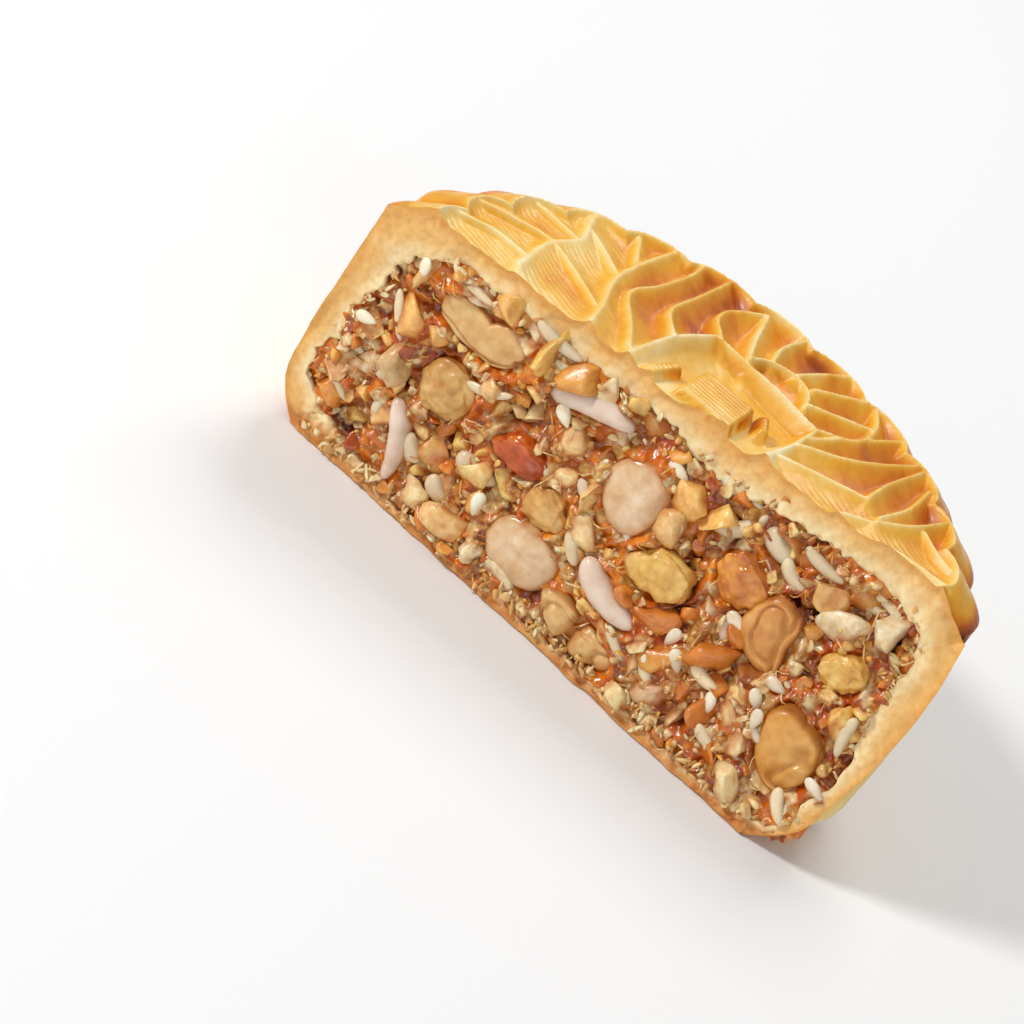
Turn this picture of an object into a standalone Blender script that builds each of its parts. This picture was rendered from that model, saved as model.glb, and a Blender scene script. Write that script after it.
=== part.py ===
"""Half of a round five-kernel mooncake, broken across its middle.

The baked crust is a fluted shell with a sloped rim, a moulded top of scooped
petals and a thin base. The filling of sticky paste and chopped kernels runs
right through it and shows on the broken face, where the larger kernels sit in
pockets of their own size.

Frame: X along the break, Y into the half (the broken face looks along -Y),
Z up, origin under the middle of the half. Metres.
"""

import math

import bmesh
import bpy
from mathutils import Euler, Matrix, Vector, noise

# Driving dimensions of the crust.
RADIUS = 0.042
RIM_HEIGHT = 0.031
TOP_HEIGHT = 0.0352
GROUND_HEIGHT = 0.0333
FLUTES = 24
FLUTE_DEPTH = 0.0013
STEPS_PER_FLUTE = 6
BASE_THICKNESS = 0.0014
GAP = 0.0003

# The break is twisted: how far its four corners stand from the XZ plane.
BREAK_BASE_LEFT = 0.0020
BREAK_BASE_RIGHT = -0.0084
BREAK_TOP_LEFT = -0.0002
BREAK_TOP_RIGHT = 0.0039
CRUST_CRAG = 0.0007
FILLING_CRAG = 0.0012
CRAG_PITCH = 0.0040
POCKET_GAP = 0.0004
POCKET_MOUTH = 0.0080

# Moulded top, from the middle outwards: radius, height, depth of the scoop
# between two ridges, and the share of a petal that the ring is turned by.
TOP_RINGS = [
    (0.0000, GROUND_HEIGHT, 0.0000, 0.0),
    (0.0142, GROUND_HEIGHT, 0.0000, 0.0),
    (0.0150, 0.0352, 0.0000, 0.0),
    (0.0157, 0.0352, 0.0001, 0.5),
    (0.0172, 0.0350, 0.0009, 0.5),
    (0.0205, 0.0350, 0.0015, 0.5),
    (0.0240, 0.0350, 0.0015, 0.5),
    (0.0270, 0.0350, 0.0008, 0.5),
    (0.0284, TOP_HEIGHT, 0.0000, 0.0),
    (0.0290, TOP_HEIGHT, 0.0001, 0.0),
    (0.0305, 0.0350, 0.0010, 0.0),
    (0.0330, 0.0349, 0.0014, 0.0),
    (0.0355, 0.0348, 0.0007, 0.0),
    (0.0366, 0.0349, 0.0000, 0.0),
    (0.0374, 0.0344, 0.0001, 0.0),
    (0.0408, 0.0322, 0.0000, 0.0),
]

# Side and base, from the rim down: radius and height.
SIDE_POINTS = [
    (RADIUS, RIM_HEIGHT),
    (RADIUS, RIM_HEIGHT - 0.0018),
    (RADIUS, 0.0075),
    (RADIUS - 0.0004, 0.0034),
    (RADIUS - 0.0016, 0.0010),
    (RADIUS - 0.0038, 0.0000),
    (0.0000, 0.0000),
]

# The hollow for the filling, from the top down: radius and height.
HOLLOW_POINTS = [
    (0.0000, 0.0306),
    (0.0335, 0.0306),
    (0.0355, 0.0292),
    (0.0368, 0.0240),
    (0.0383, 0.0140),
    (0.0383, 0.0050),
    (0.0370, 0.0020),
    (0.0345, BASE_THICKNESS),
    (0.0000, BASE_THICKNESS),
]
HOLLOW_STEPS = 48

# Plain raised bars on the middle of the top: centre x, centre y, length in x, depth in y.
TOP_BARS = [
    (0.0015, 0.0068, 0.0088, 0.0092),
    (-0.0072, 0.0060, 0.0026, 0.0070),
    (0.0098, 0.0056, 0.0026, 0.0060),
]
BAR_HEIGHT = 0.0018


def break_y(x, z):
    """Y of the mean break surface at a place on the XZ plane."""
    across = (x / RADIUS + 1) / 2
    up = z / RIM_HEIGHT
    base = BREAK_BASE_LEFT + (BREAK_BASE_RIGHT - BREAK_BASE_LEFT) * across
    top = BREAK_TOP_LEFT + (BREAK_TOP_RIGHT - BREAK_TOP_LEFT) * across
    return base + (top - base) * up


def collection(name):
    made = bpy.data.collections.new(name)
    bpy.context.scene.collection.children.link(made)
    return made


def material(name, colour, roughness):
    made = bpy.data.materials.new(name)
    made.use_nodes = True
    shader = made.node_tree.nodes["Principled BSDF"]
    shader.inputs["Base Color"].default_value = (*colour, 1.0)
    shader.inputs["Roughness"].default_value = roughness
    shader.inputs["Metallic"].default_value = 0.0
    made.diffuse_color = (*colour, 1.0)
    return made


def add_object(name, mesh, group):
    made = bpy.data.objects.new(name, mesh)
    group.objects.link(made)
    return made


def bake(obj):
    """Replace an object's mesh by what its modifiers make of it."""
    graph = bpy.context.evaluated_depsgraph_get()
    graph.update()
    mesh = bpy.data.meshes.new_from_object(obj.evaluated_get(graph))
    old = obj.data
    obj.modifiers.clear()
    obj.data = mesh
    bpy.data.meshes.remove(old)
    return obj


def turned(name, points, steps, group):
    """A solid of revolution from a profile that runs from the top pole to the base pole."""
    mesh = bpy.data.meshes.new(name)
    shape = bmesh.new()
    corners = [shape.verts.new((radius, 0, height)) for radius, height in points]
    for first, second in zip(corners, corners[1:]):
        shape.edges.new((first, second))
    shape.to_mesh(mesh)
    shape.free()
    made = add_object(name, mesh, group)
    screw = made.modifiers.new("turn", "SCREW")
    screw.steps = steps
    screw.render_steps = steps
    screw.use_merge_vertices = True
    screw.merge_threshold = 0.00005
    return bake(made)


def ring_values(radius):
    """Scoop depth and petal turn of the moulded top at a radius."""
    for inner, outer in zip(TOP_RINGS, TOP_RINGS[1:]):
        if radius <= outer[0]:
            share = (radius - inner[0]) / (outer[0] - inner[0])
            return inner[2] + (outer[2] - inner[2]) * share, outer[3]
    return 0.0, 0.0


def flute_body(obj):
    """Press the flutes into the side and the scooped petals into the top.

    A flute's crown, not a groove, meets the break at both ends.
    """
    for vertex in obj.data.vertices:
        x, y, z = vertex.co
        radius = math.hypot(x, y)
        if radius < 0.001:
            continue
        lobes = math.atan2(y, x) * FLUTES / math.tau + 0.5
        groove = 1 - abs(math.sin(math.pi * lobes))
        if z < RIM_HEIGHT:
            reach = min(1.0, 0.25 + z / 0.010)
        else:
            reach = max(0.0, (radius - 0.030) / (RADIUS - 0.030))
        if radius > 0.030:
            moved = radius - FLUTE_DEPTH * groove * reach
            vertex.co.x = x * moved / radius
            vertex.co.y = y * moved / radius
        if z > RIM_HEIGHT:
            scoop, turn = ring_values(radius)
            vertex.co.z = z - scoop * abs(math.sin(math.pi * (lobes + turn))) ** 0.8


def break_block(name, crag, seed, group):
    """A closed block in front of the break, whose back face is the craggy break surface."""
    half_width = 0.050
    low = -0.008
    high = 0.044
    columns = round(2 * half_width / CRAG_PITCH)
    rows = round((high - low) / CRAG_PITCH)
    mesh = bpy.data.meshes.new(name)
    shape = bmesh.new()
    lay = Matrix.Translation((0, 0, (low + high) / 2)) @ Matrix.Rotation(math.pi / 2, 4, "X")
    bmesh.ops.create_grid(shape, x_segments=columns, y_segments=rows, size=1,
                          matrix=lay @ Matrix.Diagonal((half_width, (high - low) / 2, 1, 1)))
    sheet = list(shape.faces)
    grown = bmesh.ops.extrude_face_region(shape, geom=sheet)
    front = [item for item in grown["geom"] if isinstance(item, bmesh.types.BMVert)]
    front_set = set(front)
    for vertex in shape.verts:
        x, _, z = vertex.co
        if vertex in front_set:
            vertex.co.y = -0.060
        else:
            place = Vector((x, seed, z)) / (CRAG_PITCH * 1.6)
            vertex.co.y = break_y(x, z) + crag * noise.noise(place) * 1.6
    bmesh.ops.recalc_face_normals(shape, faces=shape.faces)
    shape.to_mesh(mesh)
    shape.free()
    return as_cutter(add_object(name, mesh, group))


def as_cutter(obj):
    obj.hide_render = True
    obj.display_type = "WIRE"
    return obj


def combine(obj, other, operation, crossing=False):
    step = obj.modifiers.new(operation.lower(), "BOOLEAN")
    step.operation = operation
    step.solver = "EXACT"
    step.use_self = crossing
    step.object = other
    return bake(obj)


def top_bar(number, x, y, width, depth, group):
    """A plain bar standing on the ground of the medallion, with its upper edges eased."""
    foot = 0.0006
    mesh = bpy.data.meshes.new(f"bar_{number}")
    shape = bmesh.new()
    height = BAR_HEIGHT + foot
    place = Matrix.Translation((x, y, GROUND_HEIGHT - foot + height / 2))
    bmesh.ops.create_cube(shape, size=1, matrix=place @ Matrix.Diagonal((width, depth, height, 1)))
    upper = [edge for edge in shape.edges if all(v.co.z > GROUND_HEIGHT for v in edge.verts)]
    bmesh.ops.bevel(shape, geom=upper, offset=0.0005, segments=1, affect="EDGES")
    shape.to_mesh(mesh)
    shape.free()
    return as_cutter(add_object(f"bar_{number}", mesh, group))


def kernel(name, size, place, turn, lumps=0.0, bend=0.0, pinch=0.0, box=False, seed=0.0):
    """Mesh of a kernel: an ovoid or an eased block, bent, pinched and made lumpy.

    size is its length, height and thickness, and turn its angles in degrees.
    """
    mesh = bpy.data.meshes.new(name)
    shape = bmesh.new()
    if box:
        bmesh.ops.create_cube(shape, size=1.6)
        bmesh.ops.bevel(shape, geom=shape.edges[:], offset=0.28, segments=2, affect="EDGES")
    else:
        bmesh.ops.create_uvsphere(shape, u_segments=12, v_segments=8, radius=1)
    half = [side / 2 for side in size]
    spin = Euler([math.radians(angle) for angle in turn]).to_matrix()
    for vertex in shape.verts:
        unit = vertex.co.copy()
        swell = 1 + lumps * noise.noise(unit * 1.4 + Vector((seed, seed, seed)))
        narrow = 1 - pinch * (unit.x + 1) / 2
        along = unit.x * half[0] * swell
        up = unit.z * half[1] * swell * narrow + bend * (unit.x ** 2 - 0.4)
        deep = unit.y * half[2] * swell
        vertex.co = spin @ Vector((along, deep, up)) + Vector(place)
    shape.to_mesh(mesh)
    shape.free()
    return mesh


def add_pocket(pockets, piece_mesh):
    """Add a kernel's pocket to a mesh: the hull of the kernel stood out by the gap and drawn forwards."""
    piece = bmesh.new()
    piece.from_mesh(piece_mesh)
    piece.normal_update()
    stood_out = [vertex.co + vertex.normal * POCKET_GAP for vertex in piece.verts]
    piece.free()
    hull = bmesh.new()
    for place in stood_out:
        hull.verts.new(place)
        hull.verts.new(place - Vector((0, POCKET_MOUTH, 0)))
    bmesh.ops.convex_hull(hull, input=hull.verts)
    inside = [vertex for vertex in hull.verts if not vertex.link_faces]
    bmesh.ops.delete(hull, geom=inside, context="VERTS")
    bmesh.ops.recalc_face_normals(hull, faces=hull.faces)
    mesh = bpy.data.meshes.new("pocket")
    hull.to_mesh(mesh)
    hull.free()
    pockets.from_mesh(mesh)
    bpy.data.meshes.remove(mesh)


# The larger kernels on the break: node, material, kind of shape, place along X
# and Z, how deep the centre lies behind the break, size, and turn.
KERNELS = [
    dict(name="walnut_slice", look="walnut", x=-0.0246, z=0.0256, depth=0.0012,
         size=(0.0126, 0.0056, 0.0050), turn=(0, 0, 0), lumps=0.35, bend=0.0006, seed=1.3),
    dict(name="round_nut", look="nut", x=-0.0241, z=0.0171, depth=0.0012,
         size=(0.0070, 0.0074, 0.0056), turn=(0, 20, 0), lumps=0.18, seed=2.1),
    dict(name="melon_seed_upper", look="seed", x=-0.0096, z=0.0270, depth=0.0004,
         size=(0.0112, 0.0028, 0.0036), turn=(0, -14, 0), bend=-0.0009, pinch=0.25),
    dict(name="apricot_kernel_upper", look="kernel", x=0.0011, z=0.0212, depth=0.0006,
         size=(0.0096, 0.0078, 0.0040), turn=(0, 78, 0), pinch=0.15),
    dict(name="apricot_kernel_lower", look="kernel", x=-0.0057, z=0.0072, depth=0.0004,
         size=(0.0096, 0.0076, 0.0044), turn=(0, 8, 0), pinch=0.10),
    dict(name="melon_seed_middle", look="seed", x=0.0052, z=0.0102, depth=0.0003,
         size=(0.0098, 0.0032, 0.0036), turn=(0, 18, 0), bend=0.0009, pinch=-0.20),
    dict(name="nut_chunk", look="nut", x=0.0086, z=0.0157, depth=0.0014,
         size=(0.0080, 0.0060, 0.0054), turn=(0, -12, 8), lumps=0.30, box=True, seed=4.7),
    dict(name="walnut_wedge", look="walnut", x=0.0050, z=0.0044, depth=0.0010,
         size=(0.0116, 0.0046, 0.0056), turn=(0, 10, 0), lumps=0.25, bend=0.0008, seed=5.5),
    dict(name="walnut_curl", look="walnut", x=0.0236, z=0.0186, depth=0.0012,
         size=(0.0096, 0.0066, 0.0056), turn=(0, 75, 0), lumps=0.22, bend=0.0010, seed=6.4),
    dict(name="candied_peel", look="candied", x=-0.0128, z=0.0166, depth=0.0010,
         size=(0.0070, 0.0044, 0.0046), turn=(0, 5, 0), lumps=0.25, box=True, seed=7.2),
    dict(name="candied_melon", look="candied", x=0.0166, z=0.0215, depth=0.0014,
         size=(0.0066, 0.0062, 0.0052), turn=(0, 30, 0), lumps=0.22, box=True, seed=8.8),
    dict(name="walnut_lump", look="walnut", x=0.0326, z=0.0096, depth=0.0014,
         size=(0.0104, 0.0080, 0.0070), turn=(0, 62, 0), lumps=0.28, seed=9.6),
    dict(name="melon_seed_left", look="seed", x=-0.0256, z=0.0078, depth=0.0004,
         size=(0.0102, 0.0024, 0.0034), turn=(0, 68, 0), bend=-0.0008, pinch=0.30),
    dict(name="kernel_block", look="nut", x=-0.0066, z=0.0136, depth=0.0008,
         size=(0.0056, 0.0050, 0.0046), turn=(0, 24, 0), lumps=0.20, box=True, seed=3.3),
    dict(name="pale_nut", look="nut", x=0.0322, z=0.0205, depth=0.0009,
         size=(0.0058, 0.0050, 0.0046), turn=(0, -20, 0), lumps=0.22, seed=5.9),
]


def kernel_mesh(spec):
    place = (spec["x"], break_y(spec["x"], spec["z"]) + spec["depth"], spec["z"])
    shape_values = {key: spec[key] for key in ("lumps", "bend", "pinch", "box", "seed") if key in spec}
    return kernel(spec["name"], spec["size"], place, spec["turn"], **shape_values)


def build():
    for old in list(bpy.data.objects):
        bpy.data.objects.remove(old, do_unlink=True)
    parts = collection("mooncake_half")
    cutters = collection("cutters")

    looks = {
        "crust": material("baked_crust", (0.75, 0.42, 0.10), 0.38),
        "filling": material("filling_paste", (0.30, 0.11, 0.03), 0.35),
        "walnut": material("walnut", (0.68, 0.46, 0.22), 0.5),
        "nut": material("chopped_nut", (0.70, 0.50, 0.20), 0.5),
        "seed": material("melon_seed", (0.82, 0.72, 0.58), 0.4),
        "kernel": material("apricot_kernel", (0.78, 0.60, 0.38), 0.35),
        "candied": material("candied_fruit", (0.60, 0.20, 0.03), 0.2),
    }

    # Crust: the whole fluted round, its bars, then the hollow and the break.
    outline = [(ring[0], ring[1]) for ring in TOP_RINGS] + SIDE_POINTS
    crust = turned("crust", outline, FLUTES * STEPS_PER_FLUTE, parts)
    flute_body(crust)
    for number, bar in enumerate(TOP_BARS):
        combine(crust, top_bar(number, *bar, cutters), "UNION")
    hollow = as_cutter(turned("hollow", HOLLOW_POINTS, HOLLOW_STEPS, cutters))
    combine(crust, hollow, "DIFFERENCE")
    combine(crust, break_block("crust_break", CRUST_CRAG, 3.7, cutters), "DIFFERENCE")
    crust.data.materials.clear()
    crust.data.materials.append(looks["crust"])

    # Filling: the hollow's shape less the gap, broken along the same surface.
    narrowed = [(max(0.0, radius - GAP), height + (GAP if height < 0.010 else -GAP))
                for radius, height in HOLLOW_POINTS]
    filling = turned("filling", narrowed, HOLLOW_STEPS, parts)
    combine(filling, break_block("filling_break", FILLING_CRAG, 8.1, cutters), "DIFFERENCE")
    pockets = bmesh.new()
    for spec in KERNELS:
        piece = add_object(spec["name"], kernel_mesh(spec), parts)
        add_pocket(pockets, piece.data)
        piece.data.materials.append(looks[spec["look"]])
        piece.data.shade_smooth()
    pocket_mesh = bpy.data.meshes.new("pockets")
    pockets.to_mesh(pocket_mesh)
    pockets.free()
    combine(filling, as_cutter(add_object("pockets", pocket_mesh, cutters)), "DIFFERENCE", crossing=True)
    filling.data.materials.clear()
    filling.data.materials.append(looks["filling"])

    # Stand the origin under the middle of the half.
    corners = [vertex.co for vertex in crust.data.vertices]
    middle_x = (min(c.x for c in corners) + max(c.x for c in corners)) / 2
    middle_y = (min(c.y for c in corners) + max(c.y for c in corners)) / 2
    for piece in parts.objects:
        piece.location = (-middle_x, -middle_y, 0)


build()
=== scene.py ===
"""Half of a round mixed-nut mooncake, broken across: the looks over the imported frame."""

import math

import bmesh
import bpy
import numpy as np
from mathutils import Matrix, Vector


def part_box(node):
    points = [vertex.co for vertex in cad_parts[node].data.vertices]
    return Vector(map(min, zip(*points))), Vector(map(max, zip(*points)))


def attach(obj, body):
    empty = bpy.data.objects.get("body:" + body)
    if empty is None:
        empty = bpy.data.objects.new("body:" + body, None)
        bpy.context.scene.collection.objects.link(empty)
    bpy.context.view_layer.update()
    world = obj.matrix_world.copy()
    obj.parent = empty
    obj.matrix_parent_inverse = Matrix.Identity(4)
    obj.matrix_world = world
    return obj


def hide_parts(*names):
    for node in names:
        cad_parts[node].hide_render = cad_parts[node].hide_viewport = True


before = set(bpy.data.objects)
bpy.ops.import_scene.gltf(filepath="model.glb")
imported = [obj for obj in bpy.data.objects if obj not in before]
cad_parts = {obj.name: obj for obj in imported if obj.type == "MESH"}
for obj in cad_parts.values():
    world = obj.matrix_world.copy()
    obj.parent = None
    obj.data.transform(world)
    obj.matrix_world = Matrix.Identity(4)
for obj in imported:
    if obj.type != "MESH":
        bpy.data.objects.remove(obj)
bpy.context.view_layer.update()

# ---------------------------------------------------------------------------
# Crust skin. The real crust is a thin syrup dough pressed in a fluted mould,
# egg-washed and browned in the oven, with its rim nearly burnt. Its colour goes deep orange in the hollows,
# and its ridges are painted pale as a painted highlight.
# It wraps the filling on every side.

MM = 0.001
CAKE_RADIUS = 42.0
RIM_Z = 31.2
CREST_Z = 35.2
FLUTES = 24
FLUTE_DEPTH = 1.3
BASE_ROUNDING = 7.5
SKIN_COLUMNS = 440
TOP_ROWS = 150
SIDE_ROWS = 34
EDGE_ROWS = 8
UNDER_ROWS = 12

crust_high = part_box("crust")[1]
# The cake's own axis stands this far from the origin of the half, in mm.
CAKE_Y = crust_high[1] / MM - CAKE_RADIUS

# How far the corners of the break stand from the plane through the cake's axis, mm.
BREAK_BASE = (2.0, -8.4)
BREAK_TOP = (-0.2, 3.9)


def break_y(x, z):
    """Depth of the mean break surface, mm, at places across and up the half."""
    across = (x / CAKE_RADIUS + 1) / 2
    up = z / 31.0
    base = BREAK_BASE[0] + (BREAK_BASE[1] - BREAK_BASE[0]) * across
    top = BREAK_TOP[0] + (BREAK_TOP[1] - BREAK_TOP[0]) * across
    return base + (top - base) * up


def speckle(x, y, seed):
    """Smooth noise from -1 to 1, one bump to a unit."""
    x = np.asarray(x, float)
    y = np.asarray(y, float)
    column = np.floor(x)
    row = np.floor(y)
    u = x - column
    v = y - row
    u = u * u * u * (u * (u * 6 - 15) + 10)
    v = v * v * v * (v * (v * 6 - 15) + 10)

    def corner(i, j):
        mixed = np.sin((column + i) * 127.1 + (row + j) * 311.7 + seed * 74.7) * 43758.5453
        return (mixed - np.floor(mixed)) * 2 - 1

    near = corner(0, 0) * (1 - u) + corner(1, 0) * u
    far = corner(0, 1) * (1 - u) + corner(1, 1) * u
    return near * (1 - v) + far * v


def rough(x, y, seed, layers=4):
    """Layered noise, each layer twice as fine and half as strong."""
    total = 0.0
    for layer in range(layers):
        total = total + speckle(x * 2 ** layer, y * 2 ** layer, seed + layer) / 2 ** layer
    return total / 1.6


def ease(value, start, end):
    share = np.clip((value - start) / (end - start), 0, 1)
    return share * share * (3 - 2 * share)


def linear(red, green, blue):
    """A colour as seen, 0 to 255, turned into linear light."""
    return tuple(((value / 255 + 0.055) / 1.055) ** 2.4 if value > 10 else value / 3294
                 for value in (red, green, blue))


def piece_from(name, points, faces, tones=None, tone_name="tone"):
    """An object from points in the cake's own mm, with one colour to a point."""
    mesh = bpy.data.meshes.new(name)
    placed = np.array(points, float)
    placed[:, 1] += CAKE_Y
    mesh.from_pydata((placed * MM).tolist(), [], np.asarray(faces).tolist())
    if tones is not None:
        tones = np.asarray(tones, float)
        layer = mesh.color_attributes.new(name=tone_name, type="FLOAT_COLOR", domain="POINT")
        filled = np.ones((len(placed), 4))
        filled[:, :tones.shape[1]] = tones
        layer.data.foreach_set("color", filled.ravel())
    mesh.validate()
    mesh.shade_smooth()
    made = bpy.data.objects.new(name, mesh)
    bpy.context.scene.collection.objects.link(made)
    return made


def grid_faces(rows, columns):
    """Quads of a grid whose points run along each row in turn."""
    corner = (np.arange(rows - 1)[:, None] * columns + np.arange(columns - 1)[None, :]).ravel()
    return np.stack([corner, corner + 1, corner + columns + 1, corner + columns], axis=1)


# Blades of the moulded top: their run over the half, mm, and how high they stand, 0 to 1.
BLADES = [
    ([(-14.8, 37.5), (-16.6, 27.0), (-17.6, 16.0), (-16.0, 7.2), (-15.2, 1.0)], 1.0),
    ([(-24.8, 32.5), (-25.4, 25.4), (-24.0, 18.5), (-26.0, 12.0), (-26.0, 2.0)], 0.8),
    ([(-25.4, 22.9), (-21.5, 20.2), (-17.5, 16.6)], 0.7),
    ([(-33.5, 18.6), (-29.0, 18.8), (-24.2, 17.9)], 0.6),
    ([(-35.6, 9.0), (-31.0, 11.6), (-26.0, 12.9), (-21.0, 10.0), (-16.5, 6.5)], 0.7),
    ([(-12.2, 37.0), (-12.2, 30.0), (-13.6, 21.0), (-15.2, 14.8), (-12.4, 8.5), (-10.2, 3.0)], 1.0),
    ([(-8.4, 36.4), (-9.6, 25.5), (-10.4, 18.0), (-7.9, 12.9)], 1.0),
    ([(-2.2, 34.5), (-5.6, 29.0), (-6.0, 24.5), (-3.8, 20.6)], 1.0),
    ([(-2.2, 34.5), (-1.2, 27.5), (0.2, 21.0)], 1.0),
    ([(-4.2, 21.0), (-7.6, 13.2), (-9.0, 6.0), (-9.8, 0.0)], 0.9),
    ([(-4.2, 21.0), (0.3, 20.0), (5.9, 19.0), (12.0, 17.2)], 0.8),
    ([(12.0, 17.2), (11.2, 9.0), (9.4, 1.0)], 0.9),
    ([(0.2, 21.0), (1.8, 24.2), (5.2, 25.7), (8.0, 24.2), (9.0, 20.2)], 0.8),
    ([(3.4, 36.8), (2.0, 30.0), (2.2, 25.4)], 1.0),
    ([(10.6, 36.0), (8.0, 31.5), (5.6, 26.0)], 1.0),
    ([(15.0, 33.8), (11.6, 29.8), (8.2, 25.6)], 1.0),
    ([(14.8, 33.8), (16.8, 28.0), (16.2, 21.6), (12.0, 17.2)], 0.9),
    ([(17.0, 27.4), (13.2, 24.6), (9.2, 21.4)], 0.9),
    ([(23.8, 27.2), (18.0, 17.0), (11.6, 10.4)], 1.0),
    ([(24.6, 26.4), (22.6, 18.0), (21.8, 11.0)], 1.0),
    ([(20.2, 30.4), (15.4, 20.6), (12.0, 14.0)], 0.8),
    ([(30.8, 19.6), (27.8, 12.4), (24.4, 7.2)], 1.0),
    ([(26.6, 23.6), (26.2, 16.0), (24.4, 9.0)], 0.9),
    ([(29.4, 13.6), (32.0, 11.2), (34.8, 9.4)], 0.8),
    ([(35.8, 5.6), (28.0, 4.2), (20.2, 0.6)], 0.9),
    ([(21.8, 11.0), (16.6, 8.4), (10.9, 5.2)], 0.8),
    ([(24.4, 7.2), (20.6, 3.6), (19.6, -2.0)], 0.7),
    ([(-36.0, 3.0), (-31.0, 5.6), (-26.0, 5.6)], 0.6),
    ([(-20.0, 29.6), (-17.4, 22.0)], 0.6),
]

# Plain raised bars in the middle field: centre, half sizes, mm, and turn in degrees.
BARS = [
    ((1.4, 6.6), (4.0, 4.6), -4.0),
    ((7.4, 9.2), (0.9, 2.2), 18.0),
    ((-5.6, 4.6), (1.0, 3.2), -20.0),
]


def smooth_run(corners, steps=6):
    """A curve through the corners of a blade."""
    corners = np.array(corners, float)
    if len(corners) < 3:
        return corners
    padded = np.vstack([2 * corners[0] - corners[1], corners, 2 * corners[-1] - corners[-2]])
    run = []
    for a, b, c, d in zip(padded, padded[1:], padded[2:], padded[3:]):
        for t in np.arange(steps) / steps:
            run.append(0.5 * (2 * b + (c - a) * t + (2 * a - 5 * b + 4 * c - d) * t ** 2
                              + (3 * b - a - 3 * c + d) * t ** 3))
    return np.vstack([run, corners[-1]])


def blade_surface(x, y, depth):
    """Height of the scoops that the blades leave, and the distance to the nearest blade.

    A scoop falls slowly from one blade and rises steeply to the next, so that
    the petals overlap like feathers.
    """
    surface = np.full(x.shape, -99.0)
    nearest = np.full(x.shape, 99.0)
    for corners, stands in BLADES:
        run = smooth_run(corners)
        gap = np.full(x.shape, 99.0)
        side = np.zeros(x.shape)
        for start, end in zip(run, run[1:]):
            along = end - start
            share = ((x - start[0]) * along[0] + (y - start[1]) * along[1]) / max(along @ along, 1e-9)
            share = np.clip(share, 0, 1)
            away = np.hypot(x - start[0] - share * along[0], y - start[1] - share * along[1])
            turned = along[0] * (y - start[1]) - along[1] * (x - start[0])
            closer = away < gap
            gap = np.where(closer, away, gap)
            side = np.where(closer, turned / max(math.hypot(*along), 1e-9), side)
        gentle = ease(side, -0.5, 0.5)
        width = 0.80 + 1.5 * gentle
        scoop = depth * (1 - np.exp(-(gap / width) ** 1.15))
        surface = np.maximum(surface, CREST_Z - (1 - stands) * 1.0 - scoop)
        nearest = np.minimum(nearest, gap)
    return surface, nearest


def flute_groove(angle):
    """1 in the groove between two flutes, 0 on the crown of a flute."""
    return 1 - np.abs(np.cos(angle * FLUTES / 2))


def side_radius(angle, z):
    """Radius of the fluted side at a height, mm."""
    reach = np.clip(0.25 + z / 10, 0, 1)
    below = np.clip(1 - z / BASE_ROUNDING, 0, 1)
    uneven = 0.28 * rough(angle * 4.0, z / 14.0, 11, 3)
    sag = 0.35 * ease(z, 4, 14) * (1 - ease(z, 18, 31))
    worn = 3.4 * np.exp(-(angle / 0.40) ** 2)
    return (CAKE_RADIUS - FLUTE_DEPTH * flute_groove(angle) * reach
            - (3.8 + worn) * below ** 2.0 + uneven * ease(z, 0.5, 6) + sag)


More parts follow.
